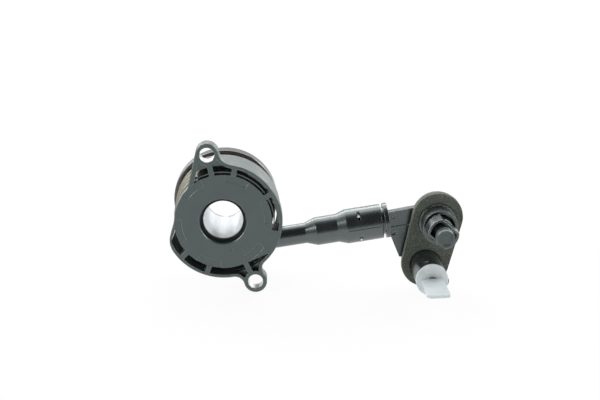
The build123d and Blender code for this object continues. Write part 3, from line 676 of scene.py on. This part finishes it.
class Finish(Enum):
    """Every finish on the part."""

    # The third colour of each nylon is the highlight painted along its edges
    NYLON = MouldedNylon("housing_nylon")
    PIPE = MouldedNylon(
        "pipe_nylon", (0.006, 0.008, 0.008), (0.014, 0.017, 0.017), (0.08, 0.09, 0.09), 0.28, 2.15
    )
    # The mould line's nylon is painted darker than the pipe's, as painted shade along its ridge
    SEAM = MouldedNylon(
        "seam_shade_nylon", (0.004, 0.005, 0.005), (0.008, 0.009, 0.009), (0.01, 0.01, 0.01), 0.6, 1.25
    )
    ADAPTOR = MouldedNylon(
        "adaptor_nylon",
        (0.006, 0.01, 0.0095),
        (0.015, 0.021, 0.02),
        (0.66, 0.69, 0.68),
        0.25,
        edge_highlight_share=1.0,
    )
    SCREW = MouldedNylon(
        "bleed_screw_nylon",
        (0.01, 0.014, 0.014),
        (0.022, 0.028, 0.028),
        (0.78, 0.81, 0.81),
        0.22,
        edge=0.0004,
        edge_highlight_share=1.0,
    )
    PISTON = MouldedNylon("piston_nylon", (0.1, 0.1, 0.096), (0.15, 0.15, 0.142))
    CAGE = MouldedNylon("cage_nylon", (0.2, 0.165, 0.11), (0.27, 0.23, 0.16))
    BACKING = MouldedNylon("seal_backing_nylon", (0.4, 0.39, 0.35), (0.5, 0.49, 0.45))
    FOAM = FoamPad("gasket_foam")
    TUBE = DrawnTube("tube_steel")
    SLEEVE = TurnedSteel("sleeve_steel", (0.62, 0.63, 0.63), (0.48, 0.48, 0.47), 0.3)
    BEARING = TurnedSteel("bearing_steel", (0.6, 0.6, 0.59), (0.46, 0.45, 0.43), 0.18)
    WIRE = TurnedSteel("clip_steel", (0.66, 0.66, 0.65), (0.5, 0.49, 0.47), 0.26)
    BLUED = TurnedSteel("blued_steel", (0.1, 0.105, 0.11), (0.16, 0.16, 0.155), 0.34)
    SPRING = CoatedMetal("spring_coat", (0.2, 0.19, 0.135), (0.24, 0.23, 0.17), 0.34, 0.3)
    CARRIER = CoatedMetal("carrier_coat", (0.04, 0.041, 0.039), (0.06, 0.06, 0.057), 0.17, 0.3, 2.0)
    RUBBER = SoftRubber("seal_rubber")
    CAP = MouldedNylon(
        "cap_plastic",
        (0.05, 0.064, 0.062),
        (0.08, 0.1, 0.097),
        (0.72, 0.76, 0.75),
        0.34,
        1.6,
        edge=0.0004,
        edge_highlight_share=1.0,
    )
    PLUG = PalePlastic("plug_plastic", face=0.026, centre=tuple(LINE_PORT), axis=tuple(PORT_DIR))


@dataclass
class Palette:
    """The materials, each made once."""

    made: dict[Finish, bpy.types.Material] = field(default_factory=dict)

    def material(self, finish: Finish) -> bpy.types.Material:
        """Material of a finish.

        Args:
            finish: the finish.

        Returns:
            Its material.
        """
        if finish not in self.made:
            self.made[finish] = finish.value.build()
        return self.made[finish]


@dataclass(frozen=True)
class Axes:
    """A point with two square directions, for pieces turned round or laid along a line."""

    origin: Vector
    along: Vector
    out: Vector

    def at(self, along: float, out: float, angle: float = 0.0) -> Vector:
        """Point beside the line.

        Args:
            along: its place along the line, in metres.
            out: its distance from the line, in metres.
            angle: its angle round the line, in radians.

        Returns:
            The point.
        """
        side = self.along.cross(self.out)
        arm = self.out * math.cos(angle) + side * math.sin(angle)
        return self.origin + self.along * along + arm * out


def rounded(corners: Sequence[tuple[float, float, float]], steps: int = 5) -> Outline:
    """Rounds the corners of a closed outline.

    Args:
        corners: distance out, place along, and rounding of each corner, in metres.
        steps: how many runs each rounded corner has.

    Returns:
        The outline's points.
    """
    outline: list[tuple[float, float]] = []
    for index, (x, y, soft) in enumerate(corners):
        here = Vector((x, y))
        if not soft:
            outline.append((x, y))
            continue
        before = Vector(corners[index - 1][:2]) - here
        after = Vector(corners[(index + 1) % len(corners)][:2]) - here
        start = here + before.normalized() * soft
        end = here + after.normalized() * soft
        for step in range(steps + 1):
            t = step / steps
            spot = start * (1 - t) ** 2 + here * (2 * t * (1 - t)) + end * t**2
            outline.append((spot.x, spot.y))
    return outline


def added(name: str, data: bpy.types.ID) -> bpy.types.Object:
    """Adds an object to the scene.

    Args:
        name: the object's name.
        data: its mesh, lamp or camera.

    Returns:
        The object.
    """
    thing = bpy.data.objects.new(name, data)
    bpy.context.scene.collection.objects.link(thing)
    return thing


def shaped(name: str, rows: Sequence[Sequence[Vector]], ring: bool) -> bpy.types.Object:
    """Skins a row of closed sections.

    Args:
        name: the piece's name.
        rows: the sections, each a closed loop of points.
        ring: whether the last section joins the first one; otherwise both ends are closed.

    Returns:
        The piece.
    """
    shape = bmesh.new()
    loops = [[shape.verts.new(point) for point in row] for row in rows]
    count = len(rows[0])
    for start, end in zip(loops, loops[1:] + loops[:1] if ring else loops[1:]):
        for spot in range(count):
            after = (spot + 1) % count
            shape.faces.new((start[spot], start[after], end[after], end[spot]))
    if not ring:
        shape.faces.new(loops[0])
        shape.faces.new(loops[-1])
    bmesh.ops.remove_doubles(shape, verts=shape.verts, dist=WELD)
    bmesh.ops.recalc_face_normals(shape, faces=shape.faces)
    for face in shape.faces:
        face.smooth = True
    for edge in shape.edges:
        edge.smooth = len(edge.link_faces) == 2 and edge.calc_face_angle() < SHARP_FROM
    mesh = bpy.data.meshes.new(name)
    shape.to_mesh(mesh)
    shape.free()
    return added(name, mesh)


def turned(name: str, axes: Axes, outline: Outline, count: int = 96) -> bpy.types.Object:
    """Turns a closed outline round a line.

    Args:
        name: the piece's name.
        axes: the line.
        outline: distance out and place along of each point, in metres.
        count: how many sections it has.

    Returns:
        The piece.
    """
    angles = [step * math.tau / count for step in range(count)]
    return shaped(name, [[axes.at(y, x, a) for x, y in outline] for a in angles], True)


@dataclass
class SubAssembly:
    """What the sub-assemblies share: finishing their nodes and adding their own pieces."""

    nodes: Mapping[str, bpy.types.Object]
    palette: Palette
    finishes: ClassVar[Mapping[str, Finish]] = {}

    def build(self) -> None:
        """Builds the meshes that the nodes lack; none unless the sub-assembly has some."""

    def dress(self) -> None:
        """Puts each node's finish in its material slots."""
        for name, finish in self.finishes.items():
            material = self.palette.material(finish)
            node = self.nodes[name]
            for slot in node.material_slots:
                slot.material = material
            if not node.material_slots:
                node.data.materials.append(material)
            LOG.info("dressed %s with %s", name, material.name)

    def fit(
        self, piece: bpy.types.Object, finish: Finish, body: str, slot: str, replaces: bool = False
    ) -> None:
        """Finishes a piece and lets it move with its body.

        Args:
            piece: the piece.
            finish: its finish.
            body: the body that it moves with.
            slot: the node that is hidden when the piece replaces it.
            replaces: whether it stands for that node.
        """
        piece.data.materials.clear()
        piece.data.materials.append(self.palette.material(finish))
        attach(piece, body)
        if replaces:
            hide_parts(slot)
        LOG.info("built %s on %s", piece.name, body)


@dataclass
class Housing(SubAssembly):
    """The housing with its ear sleeves, and the lipped ring seal in its mouth."""

    seal_inner: float = 0.0113
    seal_outer: float = 0.01294
    seal_front: float = 0.0035
    seal_back: float = 0.00495
    lip_depth: float = 0.0006
    lip_width: float = 0.0005
    finishes: ClassVar[Mapping[str, Finish]] = {
        "housing": Finish.NYLON,
        "ear_sleeves": Finish.SLEEVE,
        "gearbox_seal": Finish.RUBBER,
        "tube_seal": Finish.RUBBER,
    }

    def build(self) -> None:
        """Builds the ring seal with two rounded lips and a groove between them."""
        floor = self.seal_front + self.lip_depth
        soft = self.lip_width / 3
        corners = [
            (self.seal_inner, self.seal_back, soft),
            (self.seal_inner, self.seal_front, soft),
            (self.seal_inner + self.lip_width, self.seal_front, soft),
            (self.seal_inner + self.lip_width, floor, soft),
            (self.seal_outer - self.lip_width, floor, soft),
            (self.seal_outer - self.lip_width, self.seal_front, soft),
            (self.seal_outer, self.seal_front, soft),
            (self.seal_outer, self.seal_back, soft),
        ]
        axes = Axes(Vector(), Vector(CLUTCH_AXIS), UP)
        ring = turned("mouth_seal_lips", axes, rounded(corners))
        self.fit(ring, Finish.RUBBER, "housing_body", "gearbox_seal", True)


@dataclass
class GuideTube(SubAssembly):
    """The drawn tube and its stop ring."""

    finishes: ClassVar[Mapping[str, Finish]] = {
        "guide_tube": Finish.TUBE,
        "stop_ring": Finish.WIRE,
    }


@dataclass
class Piston(SubAssembly):
    """The ring piston and its seals."""

    finishes: ClassVar[Mapping[str, Finish]] = {
        "annular_piston": Finish.PISTON,
        "piston_seal": Finish.RUBBER,
        "seal_support_ring": Finish.BACKING,
        "wiper_ring": Finish.RUBBER,
    }


@dataclass
class PreloadSpring(SubAssembly):
    """The coil spring between the housing and the carrier, which shortens with the piston."""

    coil_r: float = 0.0268
    wire_r: float = 0.00125
    pitch: float = 0.0073
    low: float = 0.0077
    high: float = 0.04
    ground: float = 0.03995
    seat: float = 0.0064
    start_turn: float = math.radians(-40.0)
    stroke: float = 0.014
    steps_a_turn: int = 90
    sides: int = 20
    finishes: ClassVar[Mapping[str, Finish]] = {"preload_spring": Finish.SPRING}

    def build(self) -> None:
        """Builds the coil, ground flat at the carrier."""
        turns = (self.high - self.low) / self.pitch
        count = round(turns * self.steps_a_turn)
        slope = self.pitch / (math.tau * self.coil_r)
        rows = []
        for step in range(count + 1):
            turned_by = math.tau * turns * step / count
            angle = self.start_turn - turned_by
            out = Vector((math.cos(angle), 0.0, math.sin(angle)))
            run = Vector((math.sin(angle), slope, -math.cos(angle))).normalized()
            centre = out * self.coil_r
            centre.y = self.low + turned_by / math.tau * self.pitch
            rows.append(self.section(centre, out, run.cross(out)))
        coil = shaped("preload_coil", rows, False)
        self.fit(coil, Finish.SPRING, "housing_body", "preload_spring", True)
        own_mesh(coil)

    def section(self, centre: Vector, out: Vector, across: Vector) -> list[Vector]:
        """Section of the wire, cut at the ground end.

        Args:
            centre: the wire's centre.
            out: direction away from the coil's axis.
            across: direction square to it and to the wire.

        Returns:
            The section's points.
        """
        points = []
        for side in range(self.sides):
            angle = math.tau * side / self.sides
            point = centre + (out * math.cos(angle) + across * math.sin(angle)) * self.wire_r
            point.y = min(point.y, self.ground)
            points.append(point)
        return points


@dataclass
class ReleaseBearing(SubAssembly):
    """The bearing in its pressed carrier."""

    finishes: ClassVar[Mapping[str, Finish]] = {
        "bearing_carrier": Finish.CARRIER,
        "centring_washer": Finish.WIRE,
        "bearing_fixed_race": Finish.BEARING,
        "bearing_rotating_race": Finish.BEARING,
        "bearing_cage": Finish.CAGE,
        "bearing_balls": Finish.BEARING,
        "bearing_shield": Finish.BEARING,
    }


@dataclass
class FeedPipe(SubAssembly):
    """The stepped pipe with its clip, and the mould line along each side of its large end."""

    radius: float = 0.0098
    line_start: float = 0.0372
    line_end: float = 0.0558
    line_w: float = 0.00042
    line_h: float = 0.00016
    line_taper: float = 0.0006
    faded: float = 0.1
    crest_share: float = 0.5
    finishes: ClassVar[Mapping[str, Finish]] = {
        "feed_pipe": Finish.PIPE,
        "pipe_clip": Finish.WIRE,
    }

    def build(self) -> None:
        """Builds the two mould lines, each a low ridge that fades out at its ends."""
        for name, out in (("front", PORT_DIR), ("rear", -PORT_DIR)):
            side = PIPE_DIR.cross(out) * (self.line_w / 2)
            rows = []
            for reach, rise in (
                (self.line_start, self.faded),
                (self.line_start + self.line_taper, 1.0),
                (self.line_end - self.line_taper, 1.0),
                (self.line_end, self.faded),
            ):
                foot = PIPE_ROOT + PIPE_DIR * reach + out * (self.radius - self.line_h)
                top = foot + out * (self.line_h * (1 + rise))
                crest = side * self.crest_share
                rows.append([foot - side, foot + side, top + crest, top - crest])
            ridge = shaped(f"pipe_mould_line_{name}", rows, False)
            # Painted shade: the ridges take a nylon painted darker than the pipe's
            self.fit(ridge, Finish.SEAM, "housing_body", "feed_pipe")


@dataclass
class Adaptor(SubAssembly):
    """The adaptor with its two ports and seals, and the foam gasket on its plate."""

    cell: float = 0.00036
    smoothing: int = 3
    dent: float = 0.00007
    dent_size: float = 0.0011
    finishes: ClassVar[Mapping[str, Finish]] = {
        "adaptor": Finish.ADAPTOR,
        "adaptor_o_rings": Finish.RUBBER,
        "adaptor_gasket": Finish.FOAM,
        "line_port_o_ring": Finish.RUBBER,
        "line_clip": Finish.BLUED,
    }

    def build(self) -> None:
        """Builds the gasket as cut foam: its solid rebuilt in small cells, softened and dented."""
        square = Matrix((LEVEL_DIR, UP, PORT_DIR)).transposed().to_4x4()
        flat = Matrix.Translation(BLEED_PORT) @ square
        mesh = self.nodes["adaptor_gasket"].data.copy()
        mesh.transform(flat.inverted())
        rough = added("gasket_rough", mesh)
        cells = rough.modifiers.new("cells", "REMESH")
        cells.mode = "VOXEL"
        cells.voxel_size = self.cell
        soften = rough.modifiers.new("soften", "SMOOTH")
        soften.iterations = self.smoothing
        graph = bpy.context.evaluated_depsgraph_get()
        foam = bpy.data.meshes.new_from_object(rough.evaluated_get(graph))
        foam.name = "gasket_foam_pad"
        bpy.data.objects.remove(rough)
        for vertex in foam.vertices:
            dent = noise.noise(vertex.co / self.dent_size) * self.dent
            vertex.co += vertex.normal * dent
        foam.transform(flat)
        for face in foam.polygons:
            face.use_smooth = True
        pad = added(foam.name, foam)
        self.fit(pad, Finish.FOAM, "housing_body", "adaptor_gasket", True)


@dataclass
class BleedPort(SubAssembly):
    """The bleed screw with the thread on its collar, its O-rings and its rubber cap."""

    collar_r: float = 0.0079
    crest: float = 0.00024
    pitch: float = 0.0012
    thread_start: float = 0.0016
    thread_end: float = 0.0037
    flank: float = 0.32
    crest_share: float = 0.25
    fade_rate: float = 8.0
    faded: float = 0.05
    steps_a_turn: int = 72
    cap_bore: float = 0.00335
    cap_waist: float = 0.0045
    cap_lip: float = 0.0051
    cap_back: float = 0.015
    bead_start: float = 0.0246
    bead_end: float = 0.0262
    head_start: float = 0.0278
    cap_end: float = 0.031
    bore_end: float = 0.02865
    dish: float = 0.0037
    dish_depth: float = 0.0009
    soft: float = 0.0003
    finishes: ClassVar[Mapping[str, Finish]] = {
        "bleed_screw": Finish.SCREW,
        "bleed_o_rings": Finish.RUBBER,
        "bleed_cap": Finish.CAP,
    }

    def build(self) -> None:
        """Builds the thread and the cap."""
        axes = Axes(BLEED_PORT, PORT_DIR, UP)
        self.thread(axes)
        self.cap(axes)

    def thread(self, axes: Axes) -> None:
        """Builds the thread as a ridge that winds round the collar and fades at both ends.

        Args:
            axes: the port's line.
        """
        turns = (self.thread_end - self.thread_start) / self.pitch
        count = round(turns * self.steps_a_turn)
        half = self.pitch * self.flank
        crest = half * self.crest_share
        rows = []
        for step in range(count + 1):
            share = step / count
            angle = share * turns * math.tau
            place = self.thread_start + share * (self.thread_end - self.thread_start)
            rise = min(1.0, self.fade_rate * min(share, 1 - share) + self.faded)
            foot, top = self.collar_r - self.crest / 2, self.collar_r + self.crest * rise
            rows.append(
                [
                    axes.at(place - half, foot, angle),
                    axes.at(place - crest, top, angle),
                    axes.at(place + crest, top, angle),
                    axes.at(place + half, foot, angle),
                ]
            )
        ridge = shaped("bleed_screw_thread", rows, False)
        self.fit(ridge, Finish.SCREW, "bleed_screw_body", "bleed_screw")

    def cap(self, axes: Axes) -> None:
        """Builds the cap with soft edges, a bead, a head and a dished end.

        Args:
            axes: the port's line.
        """
        soft, wide, fine = self.soft, 1.4 * self.soft, 0.6 * self.soft
        corners = [
            (0.0, self.bore_end, 0.0),
            (self.cap_bore, self.bore_end, fine),
            (self.cap_bore, self.cap_back, fine),
            (self.cap_waist, self.cap_back, soft),
            (self.cap_waist, self.bead_start, fine),
            (self.cap_lip, self.bead_start, soft),
            (self.cap_lip, self.bead_end, soft),
            (self.cap_waist, self.bead_end, fine),
            (self.cap_waist, self.head_start, fine),
            (self.cap_lip, self.head_start, soft),
            (self.cap_lip, self.cap_end, wide),
            (self.dish, self.cap_end, wide),
            (self.dish - soft, self.cap_end - self.dish_depth, fine),
            (0.0, self.cap_end - self.dish_depth, 0.0),
        ]
        cap = turned("bleed_cap_rubber", axes, rounded(corners))
        self.fit(cap, Finish.CAP, "bleed_cap_body", "bleed_cap", True)


@dataclass
class TransportPlug(SubAssembly):
    """The plug in the line port."""

    finishes: ClassVar[Mapping[str, Finish]] = {"transport_plug": Finish.PLUG}


@dataclass(frozen=True)
class Softbox:
    """One soft lamp: its place and size in metres, and its power in watts."""

    name: str
    at: Point
    size: tuple[float, float]
    power: float


@dataclass
class Studio:
    """Floor, surroundings, lamps and camera."""

    lens: float = 120.0
    sensor: float = 36.0
    clip: Span = (0.05, 20.0)
    distance: float = 1.124
    elevation: float = 18.0
    aim_right: float = 0.0433
    aim_up: float = 0.0123
    surround: float = 0.3
    front_shade: float = 0.06
    front: Point = (0.0, -0.77, 0.64)
    front_span: Span = (0.35, 0.8)
    white: Colour = (1.0, 1.0, 1.0)
    paper: Colour = (0.9, 0.9, 0.9)
    paper_pale: Colour = (0.92, 0.92, 0.92)
    paper_grain: Grain = Grain(0.02)
    floor_half: float = 6.0
    floor_gap: float = 0.0003
    floor_glow: float = 0.93
    dim: float = 0.55
    dim_span: Span = (-0.3, -0.06)
    lamp_aim_back: float = 0.02
    lamps: Sequence[Softbox] = (
        Softbox("top_softbox", (0.0, 0.5, 0.95), (1.4, 0.6), 4.0),
        Softbox("rear_softbox", (0.0, 1.0, 0.77), (1.2, 0.35), 7.0),
        Softbox("rear_left_softbox", (-0.8, 0.95, 0.5), (0.7, 0.4), 8.0),
        Softbox("rear_right_softbox", (0.9, 0.95, 0.5), (0.7, 0.4), 8.0),
        Softbox("left_softbox", (-1.1, -0.55, 0.6), (0.7, 0.7), 9.0),
        Softbox("right_softbox", (1.2, -0.35, 0.6), (0.6, 0.6), 6.0),
    )

    def floor(self, height: float) -> None:
        """Lays a pale floor that keeps the part's shadow.

        Args:
            height: the height of the part's lowest point, in metres.
        """
        mesh = bpy.data.meshes.new("floor")
        shape = bmesh.new()
        bmesh.ops.create_grid(shape, x_segments=1, y_segments=1, size=self.floor_half)
        shape.to_mesh(mesh)
        shape.free()
        floor = added("floor", mesh)
        floor.location = (0.0, 0.0, height - self.floor_gap)
        graph = Graph.of_material("floor_paper")
        tone = graph.noise(self.paper_grain).blended(self.paper, self.paper_pale)
        paper = graph.add("ShaderNodeBsdfDiffuse", {}, {"Color": tone})
        glow = graph.add("ShaderNodeEmission", {}, {"Color": self.white, "Strength": 1.0})
        near = graph.place().dot(CLUTCH_AXIS).between(*self.dim_span)
        share = graph.mirrored() * (near * (1.0 - self.dim) + self.dim)
        share = share.above(graph.ray("Is Camera Ray") * self.floor_glow)
        mixed = graph.add("ShaderNodeMixShader", {}, {0: share, 1: paper, 2: glow})
        mesh.materials.append(graph.end(mixed))
        floor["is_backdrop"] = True
        LOG.info("laid the floor at %.4f m", floor.location.z)

    def surroundings(self) -> None:
        """Sets the white surroundings, darker to the front as where the photographer stands."""
        world = bpy.data.worlds.new("studio_white")
        bpy.context.scene.world = world
        graph = Graph(world)
        way = graph.add("ShaderNodeTexCoord", {}, {}, "Generated")
        front = way.dot(self.front).between(*self.front_span)
        shade = 1.0 - front * (1.0 - self.front_shade)
        soft = graph.mirrored() * (1.0 - self.surround) + self.surround
        strength = (soft * shade).above(graph.ray("Is Camera Ray"))
        backdrop = {"Color": self.white, "Strength": strength}
        graph.end(graph.add("ShaderNodeBackground", {}, backdrop))

    def hang(self, box: Softbox) -> None:
        """Hangs one soft lamp that points at the middle of the part.

        Args:
            box: the lamp.
        """
        data = bpy.data.lights.new(box.name, "AREA")
        data.shape = "RECTANGLE"
        data.size, data.size_y = box.size
        data.energy = box.power
        lamp = added(box.name, data)
        lamp.location = box.at
        towards = Vector((self.aim_right, self.lamp_aim_back, 0.0)) - Vector(box.at)
        lamp.rotation_euler = towards.to_track_quat("-Z", "Y").to_euler()
        lamp.visible_camera = False
        LOG.info("hung %s", box.name)

    def camera(self) -> None:
        """Sets the camera at the photograph's angle."""
        tilt = math.radians(self.elevation)
        forward = Vector((0.0, math.cos(tilt), -math.sin(tilt)))
        up = Vector((0.0, math.sin(tilt), math.cos(tilt)))
        right = Vector((1.0, 0.0, 0.0))
        data = bpy.data.cameras.new("camera")
        data.lens = self.lens
        data.sensor_width = self.sensor
        data.clip_start, data.clip_end = self.clip
        camera = added("camera", data)
        place = right * self.aim_right + up * self.aim_up - forward * self.distance
        square = Matrix((right, up, -forward)).transposed().to_4x4()
        camera.matrix_world = Matrix.Translation(place) @ square
        bpy.context.scene.camera = camera

    def build(self, low: float) -> None:
        """Sets up the whole studio.

        Args:
            low: the height of the part's lowest point, in metres.
        """
        bpy.context.scene.view_settings.view_transform = "Standard"
        self.floor(low)
        self.surroundings()
        for box in self.lamps:
            self.hang(box)
        self.camera()


SUB_ASSEMBLIES: Sequence[type[SubAssembly]] = (
    Housing,
    GuideTube,
    Piston,
    PreloadSpring,
    ReleaseBearing,
    FeedPipe,
    Adaptor,
    BleedPort,
    TransportPlug,
)


def main() -> None:
    """Builds the dressed part and its studio, in order."""
    logging.basicConfig(level=logging.INFO, format="%(message)s")
    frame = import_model()
    cad_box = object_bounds()
    palette = Palette()
    for kind in SUB_ASSEMBLIES:
        part = kind(frame["nodes"], palette)
        part.dress()
        part.build()
        LOG.info("finished %s", kind.__name__)
    Studio().build(min(cad_box[0][2], cad_box[1][2]))


if __name__ == "__main__":
    main()
